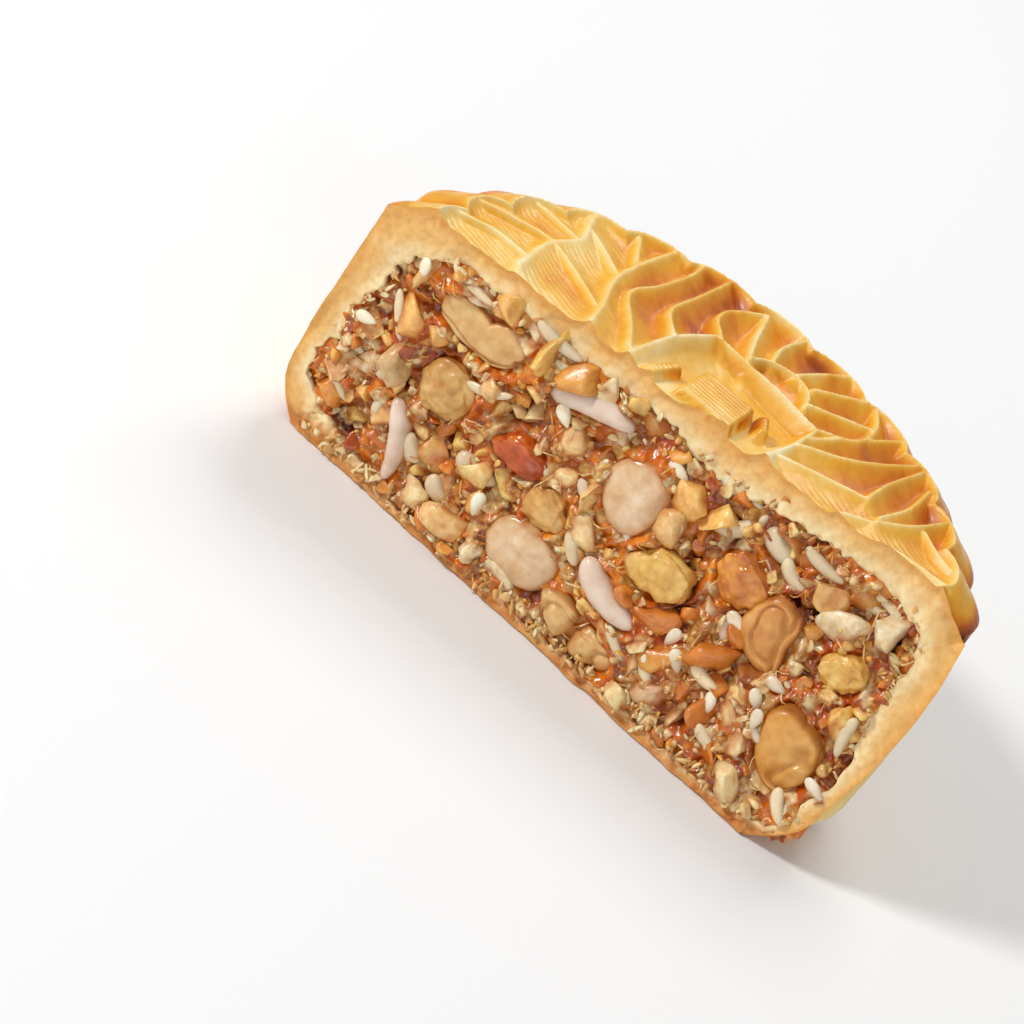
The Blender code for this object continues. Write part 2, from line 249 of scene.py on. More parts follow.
def moulded_top(x, y):
    """Height of the moulded top, mm, and its browning from 0 to 1, paled along the crests as a painted
    highlight.
    """
    radius = np.hypot(x, y)
    angle = np.arctan2(y, x)
    rim = side_radius(angle, np.full(x.shape, RIM_Z))
    groove = flute_groove(angle)
    scallop = 36.7 - 1.6 * groove ** 1.5

    # Inside the scalloped ridge: scoops between thin blades.
    back = ease(y, 3, 20) * ease(x, -24, -9)
    depth = 1.25 + 1.35 * back + 0.25 * rough(x / 8, y / 8, 15, 2)
    inside, gap = blade_surface(x, y, depth)
    to_rim = np.abs(radius - scallop)
    inside = np.maximum(inside, CREST_Z - 0.1 - depth * (1 - np.exp(-(to_rim / 1.1) ** 1.15)))
    gap = np.minimum(gap, to_rim)
    field = ease(x, -9.5, -7.5) * (1 - ease(x, 10.6, 12.2)) * (1 - ease(y, 18.0, 20.0))
    inside = inside - 0.3 * field * ease(gap, 0.5, 2.0)
    plates = ease(-x, 12, 17) + ease(x, 12, 18) * (1 - ease(y, 6, 14))
    stripes = np.sin((y * 0.92 + x * 0.4) * 2 * math.pi / 0.95 + 2.0 * speckle(x / 5, y / 5, 5))
    inside = inside + 0.035 * stripes * np.clip(plates, 0, 1) * ease(gap, 0.4, 1.2)

    # The sloped band from the ridge down to the rim, one lobe to a flute.
    share = np.clip((radius - scallop) / np.maximum(rim - scallop, 0.1), 0, 1)
    outside = (CREST_Z - 0.55 * (1 - np.exp(-np.maximum(radius - scallop, 0) / 0.5))
               - (CREST_Z - 0.75 - RIM_Z) * share ** 1.45)
    outside = outside - 0.7 * groove ** 4 * ease(share, 0.05, 0.6)
    outside = outside + 0.12 * np.sin(share * 9.0) * (1 - groove)

    height = np.where(radius < scallop, inside, outside)
    # Deeper orange down in the scoops; paler along the blade crests as a painted highlight.
    sunk = ease(CREST_Z - inside, 0.15, 2.3)
    browning_and_highlight = 0.32 + 0.34 * sunk * (1 - sunk * 0.35) + 0.12 * back - 0.18 * np.exp(-(gap / 0.38) ** 2)
    browning_and_highlight = browning_and_highlight - 0.20 * field
    band_browning_and_highlight = 0.46 + 0.30 * ease(share, 0.55, 0.98) * (0.6 + 0.8 * speckle(angle * 5, radius / 9, 3))
    # The band is also paled next to the ridge crest as a painted highlight.
    band_browning_and_highlight = band_browning_and_highlight + 0.18 * groove ** 3 - 0.20 * np.exp(-(gap / 0.45) ** 2)
    browning_and_highlight = np.where(radius < scallop, browning_and_highlight, band_browning_and_highlight)

    # Raised bars with striped tops and browned cut edges.
    for (bar_x, bar_y), (half_x, half_y), turn in BARS:
        cos = math.cos(math.radians(turn))
        sin = math.sin(math.radians(turn))
        along = (x - bar_x) * cos + (y - bar_y) * sin
        up = -(x - bar_x) * sin + (y - bar_y) * cos
        edge = np.maximum(np.abs(along) - half_x, np.abs(up) - half_y)
        lift = 1 - ease(edge, -0.55, 0.25)
        ribs = 0.07 * np.sin(up * 2 * math.pi / 0.85 + 0.8 * speckle(along, up, 8))
        height = np.maximum(height, height * (1 - lift) + (CREST_Z - 0.15 + ribs) * lift)
        cut = np.exp(-((edge + 0.10) / 0.20) ** 2) * (0.5 + 1.1 * speckle(along / 1.6, up / 1.6, 9))
        browning_and_highlight = browning_and_highlight + 0.42 * np.clip(cut, 0, 1) + 0.12 * (edge < -0.2)

    height = height + 0.10 * rough(x / 6, y / 6, 21, 3) + 0.03 * rough(x / 0.9, y / 0.9, 27, 2)
    browning_and_highlight = browning_and_highlight + 0.16 * rough(x / 7, y / 7, 31, 3) + 0.05 * rough(x / 1.1, y / 1.1, 35, 2)
    browning_and_highlight = browning_and_highlight - 0.14 * (1 - ease(y, -4, 7))
    scorch = ease(rough(x / 5.5, y / 5.5, 47, 3), 0.25, 0.7) * ease(radius, 26, 39)
    browning_and_highlight = browning_and_highlight + 0.20 * scorch
    return height, np.clip(browning_and_highlight, 0, 1)


def edge_y(x, z):
    """Where the crust's skin ends at the break, a little ragged."""
    return break_y(x, z) + 0.35 * rough(x / 2.6, z / 2.6, 52, 3)


def end_angles(z):
    """Angles at which the side meets the break, right and left, at heights."""
    right = np.arcsin(edge_y(np.full(z.shape, 41.0), z) / CAKE_RADIUS)
    left = math.pi - np.arcsin(edge_y(np.full(z.shape, -41.0), z) / CAKE_RADIUS)
    return right, left


columns = np.linspace(0, 1, SKIN_COLUMNS + 1)
side_z = np.concatenate([np.linspace(RIM_Z, BASE_ROUNDING, SIDE_ROWS + 1),
                         BASE_ROUNDING * (1 - np.sin(np.linspace(0, math.pi / 2, EDGE_ROWS + 1)[1:]))])
right_end, left_end = end_angles(side_z)
side_angle = right_end[:, None] + (left_end - right_end)[:, None] * columns[None, :]
side_zz = np.repeat(side_z[:, None], SKIN_COLUMNS + 1, axis=1)
side_r = side_radius(side_angle, side_zz)
side_x = side_r * np.cos(side_angle)
side_y = side_r * np.sin(side_angle)

rim_x = side_x[0]
rim_y = side_y[0]
share = (np.arange(TOP_ROWS) / TOP_ROWS)[:, None]
inner_y = edge_y(rim_x, np.full(rim_x.shape, 33.5))
inner_y = np.minimum(inner_y, rim_y)
top_x = np.repeat(rim_x[None, :], TOP_ROWS, axis=0)
top_y = inner_y[None, :] + (rim_y - inner_y)[None, :] * share
top_z, top_browning_and_highlight = moulded_top(top_x, top_y)

under_share = (np.arange(1, UNDER_ROWS + 1) / UNDER_ROWS)[:, None]
under_x = np.repeat(side_x[-1][None, :], UNDER_ROWS, axis=0)
under_end = np.minimum(edge_y(side_x[-1], np.zeros(SKIN_COLUMNS + 1)), side_y[-1])
under_y = side_y[-1][None, :] + (under_end - side_y[-1])[None, :] * under_share
under_z = np.zeros(under_x.shape)

blotch = rough(side_angle * 5.2, side_zz / 9, 61, 4)
side_baked = 0.36 + 0.24 * blotch + 0.10 * flute_groove(side_angle) ** 2
top_edge = 0.75 + 0.7 * speckle(side_angle * 7, side_zz / 8, 66)
side_baked = side_baked + 0.40 * ease(side_zz, 28.5, 31.0) * top_edge
side_baked = side_baked + 0.26 * (1 - ease(side_zz, 0, 6.5))
under_baked = 0.62 + 0.12 * rough(under_x / 8, under_y / 8, 71, 3)

skin_x = np.vstack([top_x, side_x, under_x])
skin_y = np.vstack([top_y, side_y, under_y])
skin_z = np.vstack([top_z, side_zz, under_z])
skin_browning_and_highlight = np.clip(np.vstack([top_browning_and_highlight, side_baked, under_baked]), 0, 1)
skin_rows = skin_x.shape[0]
skin_points = np.stack([skin_x.ravel(), skin_y.ravel(), skin_z.ravel()], axis=1)
skin_faces = grid_faces(skin_rows, SKIN_COLUMNS + 1)[:, ::-1]
crust_skin = piece_from("crust_skin", skin_points, skin_faces,
                        np.repeat(skin_browning_and_highlight.ravel()[:, None], 3, axis=1), "browning_and_highlight")


def new_material(name):
    """A node material with its shader, ready for its colour and bump."""
    made = bpy.data.materials.new(name)
    made.use_nodes = True
    tree = made.node_tree
    shader = tree.nodes["Principled BSDF"]
    return made, tree, shader


def read_tone(tree, name):
    node = tree.nodes.new("ShaderNodeVertexColor")
    node.layer_name = name
    return node.outputs["Color"]


def grain(tree, size_mm, detail=3.0, roughness=0.5):
    """Noise through the object's own space, one bump to size_mm."""
    place = tree.nodes.new("ShaderNodeTexCoord")
    noise = tree.nodes.new("ShaderNodeTexNoise")
    noise.inputs["Scale"].default_value = 1 / (size_mm * MM)
    noise.inputs["Detail"].default_value = detail
    noise.inputs["Roughness"].default_value = roughness
    tree.links.new(place.outputs["Object"], noise.inputs["Vector"])
    return noise.outputs["Fac"]


def spread(tree, source, low, high):
    """Map a 0 to 1 value onto a range."""
    node = tree.nodes.new("ShaderNodeMapRange")
    node.inputs["From Min"].default_value = 0.3
    node.inputs["From Max"].default_value = 0.7
    node.inputs["To Min"].default_value = low
    node.inputs["To Max"].default_value = high
    tree.links.new(source, node.inputs["Value"])
    return node.outputs["Result"]


def ramp(tree, source, stops):
    node = tree.nodes.new("ShaderNodeValToRGB")
    while len(node.color_ramp.elements) < len(stops):
        node.color_ramp.elements.new(0.5)
    for element, (place, colour) in zip(node.color_ramp.elements, stops):
        element.position = place
        element.color = (*linear(*colour), 1)
    tree.links.new(source, node.inputs["Fac"])
    return node.outputs["Color"]


def bump(tree, shader, source, distance_mm, strength=1.0):
    node = tree.nodes.new("ShaderNodeBump")
    node.inputs["Strength"].default_value = strength
    node.inputs["Distance"].default_value = distance_mm * MM
    tree.links.new(source, node.inputs["Height"])
    tree.links.new(node.outputs["Normal"], shader.inputs["Normal"])


def add_values(tree, first, second, weight):
    """first + (second - 0.5) * weight."""
    node = tree.nodes.new("ShaderNodeMath")
    node.operation = "MULTIPLY_ADD"
    tree.links.new(second, node.inputs[0])
    node.inputs[1].default_value = weight
    shift = tree.nodes.new("ShaderNodeMath")
    shift.operation = "SUBTRACT"
    tree.links.new(first, shift.inputs[0])
    shift.inputs[1].default_value = weight / 2
    tree.links.new(shift.outputs[0], node.inputs[2])
    return node.outputs[0]


# Crust colours from pale cream to burnt brown; the pale end also gives the crests their painted highlight.
CRUST_BROWNING_AND_HIGHLIGHT = [
    (0.00, (248, 230, 182)),
    (0.22, (242, 206, 120)),
    (0.42, (236, 176, 44)),
    (0.60, (222, 138, 2)),
    (0.78, (186, 88, 0)),
    (1.00, (112, 46, 10)),
]

crust_skin_finish, tree, shader = new_material("baked_crust")
separate = tree.nodes.new("ShaderNodeSeparateColor")
tree.links.new(read_tone(tree, "browning_and_highlight"), separate.inputs["Color"])
browning_and_highlight_value = add_values(tree, separate.outputs["Red"], grain(tree, 2.6, 5, 0.6), 0.26)
tree.links.new(ramp(tree, browning_and_highlight_value, CRUST_BROWNING_AND_HIGHLIGHT), shader.inputs["Base Color"])
tree.links.new(spread(tree, grain(tree, 3.0, 2), 0.36, 0.52), shader.inputs["Roughness"])
bump(tree, shader, grain(tree, 1.1, 5, 0.62), 0.12, 0.6)
shader.inputs["Coat Weight"].default_value = 0.14
shader.inputs["Coat Roughness"].default_value = 0.16
shader.inputs["Subsurface Weight"].default_value = 0.1
shader.inputs["Subsurface Scale"].default_value = 0.002
crust_skin.data.materials.append(crust_skin_finish)
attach(crust_skin, "root")
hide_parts("crust")

# ---------------------------------------------------------------------------
# Broken dough. Where the crust is torn it shows its pale, short crumb, with a
# thin baked line at the outside and loose flakes along the base.

FILLING_MIDDLE_Z = 15.85
FACE_ROWS = 14


def filling_width(x, z):
    """Half width of the filling at a height, on the side that x is on, mm."""
    left = 39.4 - 0.26 * np.clip(z - 14, 0, 99)
    right = 39.0 - 0.12 * np.clip(z - 9, 0, 99)
    return np.where(x < 0, left, right)


def filling_reach(x, z):
    """Under 1 inside the filling's outline on the break, over 1 in the dough."""
    wave = 0.034 * rough(x / 3.4, z / 3.4, 83, 3) + 0.016 * speckle(x / 0.8, z / 0.8, 84)
    across = np.abs(x) / filling_width(x, z)
    floor_z = 1.0 + 3.0 * ease(-x, 21, 38)
    roof_z = 30.8 - 1.7 * np.exp(-((x - 8) / 6) ** 2)
    up = np.where(z < FILLING_MIDDLE_Z, (FILLING_MIDDLE_Z - z) / (FILLING_MIDDLE_Z - floor_z),
                  (z - FILLING_MIDDLE_Z) / (roof_z - FILLING_MIDDLE_Z))
    corner = np.clip((x - z) / 35.6, 0, 9)
    return (across ** 13 + up ** 13 + corner ** 13) ** (1 / 13) + wave


last = skin_rows - 1
side_rows = range(TOP_ROWS, TOP_ROWS + SIDE_ROWS + EDGE_ROWS + 1)
# Beside a flute's groove the rim doubles back in x, so only the columns that go on outward are used.
farthest = np.minimum.accumulate(rim_x)
top_columns = [i for i in range(1, SKIN_COLUMNS) if rim_x[i] < farthest[i - 1]]
loop = ([(0, i) for i in top_columns] + [(j, SKIN_COLUMNS) for j in side_rows]
        + [(last, i) for i in range(SKIN_COLUMNS - 1, 0, -1)] + [(j, 0) for j in reversed(side_rows)])
loop_rows = np.array([j for j, i in loop])
loop_columns = np.array([i for j, i in loop])
outer = np.stack([skin_x[loop_rows, loop_columns], skin_y[loop_rows, loop_columns],
                  skin_z[loop_rows, loop_columns]], axis=1)
aim_x = np.clip(outer[:, 0], -34, 34)
aim_z = np.full(len(outer), FILLING_MIDDLE_Z)
aim_z = aim_z + np.clip(outer[:, 2] - FILLING_MIDDLE_Z, -8, 8)
near = np.zeros(len(outer))
far = np.ones(len(outer))
for _ in range(22):
    middle = (near + far) / 2
    reach = filling_reach(outer[:, 0] + (aim_x - outer[:, 0]) * middle,
                          outer[:, 2] + (aim_z - outer[:, 2]) * middle)
    near = np.where(reach > 1, middle, near)
    far = np.where(reach > 1, far, middle)
inner_x = outer[:, 0] + (aim_x - outer[:, 0]) * far
inner_z = outer[:, 2] + (aim_z - outer[:, 2]) * far

golden = np.array(linear(234, 170, 84))
tan = np.array(linear(238, 190, 116))
pale = np.array(linear(250, 226, 176))
torn = np.array(linear(212, 146, 78))
base_brown = np.array(linear(196, 118, 50))
face_points = [outer]
face_tones = [np.tile(golden, (len(outer), 1))]
for row in range(1, FACE_ROWS + 1):
    inward = (row / FACE_ROWS) ** 1.15
    x = outer[:, 0] + (inner_x - outer[:, 0]) * inward
    z = outer[:, 2] + (inner_z - outer[:, 2]) * inward
    rise = ease(np.full(x.shape, inward), 0.0, 0.35)
    low_edge = 1 - ease(z, 2.0, 6.0)
    crag = 0.60 * rough(x / 3.4, z / 3.4, 91, 3) + (0.12 + 0.75 * low_edge) * rough(x / 1.0, z / 1.0, 95, 3)
    y = outer[:, 1] * (1 - rise) + break_y(x, z) * rise + crag * rise * (0.5 + 0.5 * inward) + 0.2 * rise
    face_points.append(np.stack([x, y, z], axis=1))
    inward_here = np.full(x.shape, inward)
    share_pale = np.clip(ease(inward_here, 0.35, 0.95) + 0.45 * rough(x / 3.0, z / 3.0, 97, 3), 0, 1)
    share_gold = np.clip(1 - inward * 2.6 + 0.3 * rough(x / 4.0, z / 4.0, 98, 2), 0, 1)
    near_filling = 0.12 + 0.6 * low_edge + 0.5 * ease(inward_here, 0.86, 1.0)
    share_torn = ease(rough(x / 1.5, z / 1.5, 99, 3), 0.20, 0.7) * near_filling
    tone = tan * (1 - share_pale[:, None]) + pale * share_pale[:, None]
    tone = tone * (1 - share_gold[:, None]) + golden * share_gold[:, None]
    tone = tone * (1 - share_torn[:, None]) + torn * share_torn[:, None]
    share_base = (0.85 * (1 - ease(z, 0.6, 3.4)) * (0.75 + 0.5 * speckle(x / 1.3, z / 1.3, 89)))[:, None]
    tone = tone * (1 - share_base) + base_brown * share_base
    face_tones.append(tone)
# Three rings stepped back from the filling's outline line the gap between dough and paste, coloured dark
# brown as painted shade.
for depth in (1.2, 2.6, 4.5):
    rim = face_points[FACE_ROWS].copy()
    rim[:, 1] += depth
    face_points.append(rim)
    face_tones.append(np.tile(np.array(linear(150, 88, 42)), (len(outer), 1)))

rings = len(face_points)
ring_length = len(outer)
ring_index = np.arange(ring_length)
ring_next = (ring_index + 1) % ring_length
dough_faces = []
for k in range(rings - 1):
    this_ring = k * ring_length
    next_ring = this_ring + ring_length
    dough_faces.append(np.stack([ring_index + this_ring, ring_next + this_ring,
                                 ring_next + next_ring, ring_index + next_ring], axis=1))
dough_faces = np.vstack(dough_faces)
broken_dough = piece_from("broken_dough", np.vstack(face_points), dough_faces, np.vstack(face_tones))

dough_finish, tree, shader = new_material("dough_crumb")
mix = tree.nodes.new("ShaderNodeMix")
mix.data_type = "RGBA"
mix.blend_type = "MULTIPLY"
mix.inputs["Factor"].default_value = 1.0
tree.links.new(read_tone(tree, "tone"), mix.inputs["A"])
mottle_stops = [(0.3, (244, 230, 206)), (0.6, (255, 255, 255))]
tree.links.new(ramp(tree, grain(tree, 0.8, 4), mottle_stops), mix.inputs["B"])
tree.links.new(mix.outputs["Result"], shader.inputs["Base Color"])
tree.links.new(spread(tree, grain(tree, 1.4, 3), 0.55, 0.75), shader.inputs["Roughness"])
bump(tree, shader, grain(tree, 0.6, 4, 0.6), 0.12, 0.7)
shader.inputs["Subsurface Weight"].default_value = 0.15
shader.inputs["Subsurface Scale"].default_value = 0.002
broken_dough.data.materials.append(dough_finish)
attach(broken_dough, "root")
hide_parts("crust")

# ---------------------------------------------------------------------------
# Filling paste. Syrup, lard and cooked flour bind the nuts into a dense, sticky
# mass, amber where it is thin, with painted shade that turns it red-brown in its pits. It fills the crust.

PASTE_PITCH = 0.21
chance = np.random.default_rng(20)

# Torn pits: place across and up, radius and depth, mm.
PITS = [
    (-15.3, 21.2, 3.2, 2.6),
    (-21.4, 11.9, 2.6, 2.2),
    (-32.4, 5.4, 3.0, 2.6),
    (35.0, 25.4, 2.4, 2.2),
    (26.0, 24.0, 2.6, 1.6),
    (-32.0, 24.6, 2.2, 1.6),
    (11.0, 18.4, 2.4, 1.6),
    (20.0, 5.0, 3.0, 1.8),
    (30.0, 27.2, 2.4, 1.4),
    (-2.0, 27.6, 2.4, 1.3),
    (-10.2, 10.4, 2.0, 1.6),
]

# The larger kernels: CAD node, length, height and thickness, mm, and turn in degrees.
KERNELS = {
    "walnut_slice": ((13.4, 6.4, 5.0), 2),
    "round_nut": ((7.4, 7.8, 6.0), 20),
    "melon_seed_upper": ((11.6, 3.0, 3.4), -14),
    "apricot_kernel_upper": ((9.9, 8.0, 4.2), 78),
    "apricot_kernel_lower": ((9.9, 8.0, 4.6), 8),
    "melon_seed_middle": ((10.4, 3.5, 3.6), 18),
    "nut_chunk": ((8.6, 6.6, 5.6), -12),
    "walnut_wedge": ((12.4, 5.4, 5.8), 10),
    "walnut_curl": ((10.0, 7.2, 5.8), 75),
    "candied_peel": ((7.6, 5.0, 4.8), 5),
    "candied_melon": ((7.2, 6.8, 5.4), 30),
    "walnut_lump": ((11.0, 8.4, 7.2), 62),
    "melon_seed_left": ((10.6, 2.6, 3.4), 68),
    "kernel_block": ((6.2, 5.6, 4.8), 24),
    "pale_nut": ((6.2, 5.4, 4.8), -20),
}


def kernel_place(node):
    """Middle of a kernel's CAD solid in the cake's own mm."""
    low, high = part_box(node)
    middle = [(a + b) / 2 / MM for a, b in zip(low, high)]
    return middle[0], middle[1] - CAKE_Y, middle[2]


paste_x, paste_z = np.meshgrid(np.arange(-40.2, 40.3, PASTE_PITCH), np.arange(0.2, 31.8, PASTE_PITCH))
paste_reach = filling_reach(paste_x, paste_z)
torn_paste = 1 - np.abs(rough(paste_x / 3.0, paste_z / 2.2, 109, 3))
relief = (1.4 * rough(paste_x / 6.5, paste_z / 6.5, 101, 3)
          + 0.55 * rough(paste_x / 2.2, paste_z / 2.2, 107, 3) - 0.9 * torn_paste ** 2 + 1.3)
for pit_x, pit_z, pit_radius, pit_depth in PITS:
    away = np.hypot(paste_x - pit_x, (paste_z - pit_z) * 1.15) / pit_radius
    away = away + 0.35 * speckle(paste_x / 1.6, paste_z / 1.6, 113)
    relief = relief + pit_depth * np.exp(-away ** 2 * 1.3)

# The darkest paste colour is painted shade for the pits.
paste_pit_shade = np.array(linear(92, 26, 2))
paste_mid = np.array(linear(196, 86, 6))
paste_amber = np.array(linear(240, 146, 20))
amber_share = np.clip(0.5 + 0.9 * rough(paste_x / 4.2, paste_z / 4.2, 121, 4), 0, 1)
# Painted shade: the paste darkens to red-brown the deeper the relief sinks into the break.
pit_shade_share = ease(relief, 0.7, 2.4)
tone = (paste_mid[None, None, :] * (1 - amber_share[..., None])
        + paste_amber[None, None, :] * amber_share[..., None])
tone = tone * (1 - pit_shade_share[..., None]) + paste_pit_shade[None, None, :] * pit_shade_share[..., None]

# Fine grit of ground nut and seed pressed into the paste.
GRIT_TONES = [linear(236, 204, 146), linear(222, 176, 108), linear(206, 142, 70),
              linear(176, 104, 48), linear(240, 216, 168), linear(214, 160, 80)]
for _ in range(1300):
    grit_x = chance.uniform(-39, 39)
    grit_z = chance.uniform(1, 31)
    long_half = 0.35 + 1.1 * chance.uniform() ** 2
    short_half = long_half * chance.uniform(0.4, 0.9)
    turn = chance.uniform(0, math.pi)
    colour = np.array(GRIT_TONES[chance.integers(len(GRIT_TONES))]) * chance.uniform(0.75, 1.05)
    proud = chance.uniform(0.15, 0.55)
    column = int((grit_x + 40.2) / PASTE_PITCH)
    row = int((grit_z - 0.2) / PASTE_PITCH)
    span = int(long_half / PASTE_PITCH) + 2
    rows = slice(max(row - span, 0), row + span + 1)
    cols = slice(max(column - span, 0), column + span + 1)
    dx = paste_x[rows, cols] - grit_x
    dz = paste_z[rows, cols] - grit_z
    a = (dx * math.cos(turn) + dz * math.sin(turn)) / long_half
    b = (-dx * math.sin(turn) + dz * math.cos(turn)) / short_half
    bulge = 1 - (np.abs(a) ** 2.6 + np.abs(b) ** 2.6) + 0.45 * speckle(dx / 0.5, dz / 0.5, grit_x)
    inside = bulge > 0
    lifted = relief[rows, cols] - proud * long_half * np.sqrt(np.clip(bulge, 0, 1))
    relief[rows, cols] = np.where(inside, lifted, relief[rows, cols])
    blend = ease(bulge, 0.0, 0.35)[..., None]
    tone[rows, cols] = tone[rows, cols] * (1 - blend) + colour * blend

paste_y = break_y(paste_x, paste_z) + relief
for node, (size, turn) in KERNELS.items():
    middle_x, middle_y, middle_z = kernel_place(node)
    cos = math.cos(math.radians(turn))
    sin = math.sin(math.radians(turn))
    a = ((paste_x - middle_x) * cos - (paste_z - middle_z) * sin) / (size[0] / 2 + 0.1)
    b = ((paste_x - middle_x) * sin + (paste_z - middle_z) * cos) / (size[1] / 2 + 0.1)
    under = 1 - ease(np.hypot(a, b), 0.72, 1.02)
    paste_y = paste_y - 0.55 * np.exp(-((np.hypot(a, b) - 1.08) / 0.13) ** 2)
    pressed = paste_y * (1 - under) + (middle_y + 0.2) * under
    paste_y = np.where(under > 0, np.maximum(paste_y, pressed), paste_y)
paste_y = paste_y + 1.6 * ease(paste_reach, 0.985, 1.06)
keep = paste_reach < 1.09
paste_points = np.stack([paste_x.ravel(), paste_y.ravel(), paste_z.ravel()], axis=1)
paste_faces = grid_faces(*paste_x.shape)
paste_faces = paste_faces[keep.ravel()[paste_faces].all(axis=1)]
used, packed = np.unique(paste_faces, return_inverse=True)
paste_faces = packed.reshape(paste_faces.shape)
filling_paste = piece_from("filling_paste", paste_points[used], paste_faces, tone.reshape(-1, 3)[used])

paste_finish, tree, shader = new_material("sticky_paste")
mix = tree.nodes.new("ShaderNodeMix")
mix.data_type = "RGBA"
mix.blend_type = "MULTIPLY"
mix.inputs["Factor"].default_value = 1.0
tree.links.new(read_tone(tree, "tone"), mix.inputs["A"])
mottle_stops = [(0.3, (206, 164, 130)), (0.6, (255, 250, 240))]
tree.links.new(ramp(tree, grain(tree, 1.1, 3), mottle_stops), mix.inputs["B"])
tree.links.new(mix.outputs["Result"], shader.inputs["Base Color"])
tree.links.new(spread(tree, grain(tree, 1.8, 2), 0.16, 0.40), shader.inputs["Roughness"])
bump(tree, shader, grain(tree, 0.8, 3), 0.20, 0.7)
shader.inputs["Coat Weight"].default_value = 0.4
shader.inputs["Coat Roughness"].default_value = 0.10
shader.inputs["Subsurface Weight"].default_value = 0.2
shader.inputs["Subsurface Scale"].default_value = 0.002
filling_paste.data.materials.append(paste_finish)
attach(filling_paste, "root")
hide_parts("filling")

# ---------------------------------------------------------------------------
# Large kernels. Walnut, chopped nuts, split apricot kernels, melon seeds and
# candied peel that the break laid bare. Each is held in the paste by half.


def ball(cuts):
    """Points and triangles of an even ball."""
    shape = bmesh.new()
    bmesh.ops.create_icosphere(shape, subdivisions=cuts, radius=1)
    points = np.array([vertex.co[:] for vertex in shape.verts])
    faces = np.array([[vertex.index for vertex in face.verts] for face in shape.faces])
    shape.free()
    return points, faces


def lump(points, size, seed):
    """Noise over a body of points, one bump to size."""
    x, y, z = (points / size).T
    return (speckle(x + seed, y, seed) + speckle(y + 3.3, z + seed, seed + 1)
            + speckle(z + 7.1, x, seed + 2)) / 2


def chop(points, facing, seed, cuts=7, shallow=0.62, deep=0.92):
    """Flatten a ball against some planes, as a knife or a crusher leaves a nut."""
    dice = np.random.default_rng(seed)
    cut = points.copy()
    for _ in range(cuts):
        normal = dice.normal(size=3)
        normal /= np.linalg.norm(normal)
        if facing and normal[1] > 0.6:
            normal[1] = -normal[1]
        over = cut @ normal - dice.uniform(shallow, deep)
        cut = cut - np.clip(over, 0, None)[:, None] * normal * 0.97
    return cut


def paste_depth(x, z):
    """Depth of the paste at a place on the face, mm."""
    column = np.clip(((x + 40.2) / PASTE_PITCH).astype(int), 0, paste_x.shape[1] - 1)
    row = np.clip(((z - 0.2) / PASTE_PITCH).astype(int), 0, paste_x.shape[0] - 1)
    return paste_y[row, column]


SYRUP_STAIN = np.array(linear(196, 100, 14))


def syrup_stained(points, tones, amount, reach=1.0):
    """Tones of a piece, stained by syrup where it sits low in the paste."""
    low = ease(points[:, 1] - paste_depth(points[:, 0], points[:, 2]), -reach, 0.15)
    low = np.clip(low + 0.30 * lump(points, 1.1, 3.0), 0, 1)[:, None] * amount
    return tones * (1 - low) + SYRUP_STAIN * low


def turned_in_face(points, degrees):
    """Turn points in the plane of the break: positive turns the right end down."""
    cos = math.cos(math.radians(degrees))
    sin = math.sin(math.radians(degrees))
    x, y, z = points.T
    return np.stack([x * cos + z * sin, y, -x * sin + z * cos], axis=1)


FINE_BALL = ball(5)


def kernel_piece(node, form, colours, seed, outline):
    """One kernel: form shapes a ball, colours gives its light, body and edge tones."""
    (length, height, thick), turn = KERNELS[node]
    unit = FINE_BALL[0]
    shaped, shade = form(unit, seed, outline)
    points = shaped * np.array([length / 2, thick / 2, height / 2])
    points = points + unit * (0.12 * lump(points, 1.3, seed + 5))[:, None]
    points = turned_in_face(points, turn) + np.array(kernel_place(node))
    light, body, edge = (np.array(linear(*colour)) for colour in colours)
    shade = np.clip(shade + 0.30 * lump(points, 1.7, seed + 9), -1, 1)[:, None]
    tones = body + (light - body) * np.clip(shade, 0, 1) + (edge - body) * np.clip(-shade, 0, 1)
    made = piece_from(node + "_meat", points, FINE_BALL[1], syrup_stained(points, tones, 0.75))
    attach(made, "root")
    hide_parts(node)
    return made


def split_apricot(unit, seed, outline):
    """A flat oval half kernel with a germ mark and faint veins."""
    x, y, z = unit.T
    taper = (1 - outline * x) * (1 + 0.05 * lump(unit, 0.9, seed))
    shaped = np.stack([x, np.where(y < 0, y * 0.78, y), z * taper], axis=1)
    from_germ = np.hypot((x + 0.05) / 0.30, z / 0.20)
    germ = np.exp(-from_germ ** 2)
    shaped[:, 1] += 0.14 * germ * (y < 0)
    around = np.hypot(x, z)
    shaped[:, 1] += 0.16 * lump(unit, 0.55, seed + 7) * (y < 0)
    shade = 0.4 * germ - 0.7 * ease(around, 0.80, 1.0) + 0.10 + 0.45 * lump(unit, 0.45, seed + 3)
    shade = shade + 0.12 * np.sin(np.arctan2(z, x + 0.2) * 14) * np.exp(-((around - 0.5) / 0.3) ** 2)
    return shaped, shade


def blunt(unit):
    """A ball with fuller ends along X."""
    x, y, z = unit.T
    fuller = np.sqrt((1 - np.abs(x) ** 3) / np.maximum(1 - x * x, 1e-3))
    return x, y * fuller, z * fuller


def crescent(unit, seed, outline):
    """A smooth peeled melon seed, bent, and narrowed to one end."""
    x, y, z = blunt(unit)
    shaped = np.stack([x, y, z * (1 - 0.16 * x) + outline * (x * x - 0.4)], axis=1)
    shade = 0.35 - 0.9 * ease(np.abs(unit[:, 2]), 0.7, 1.0) + 0.2 * x
    return shaped, shade


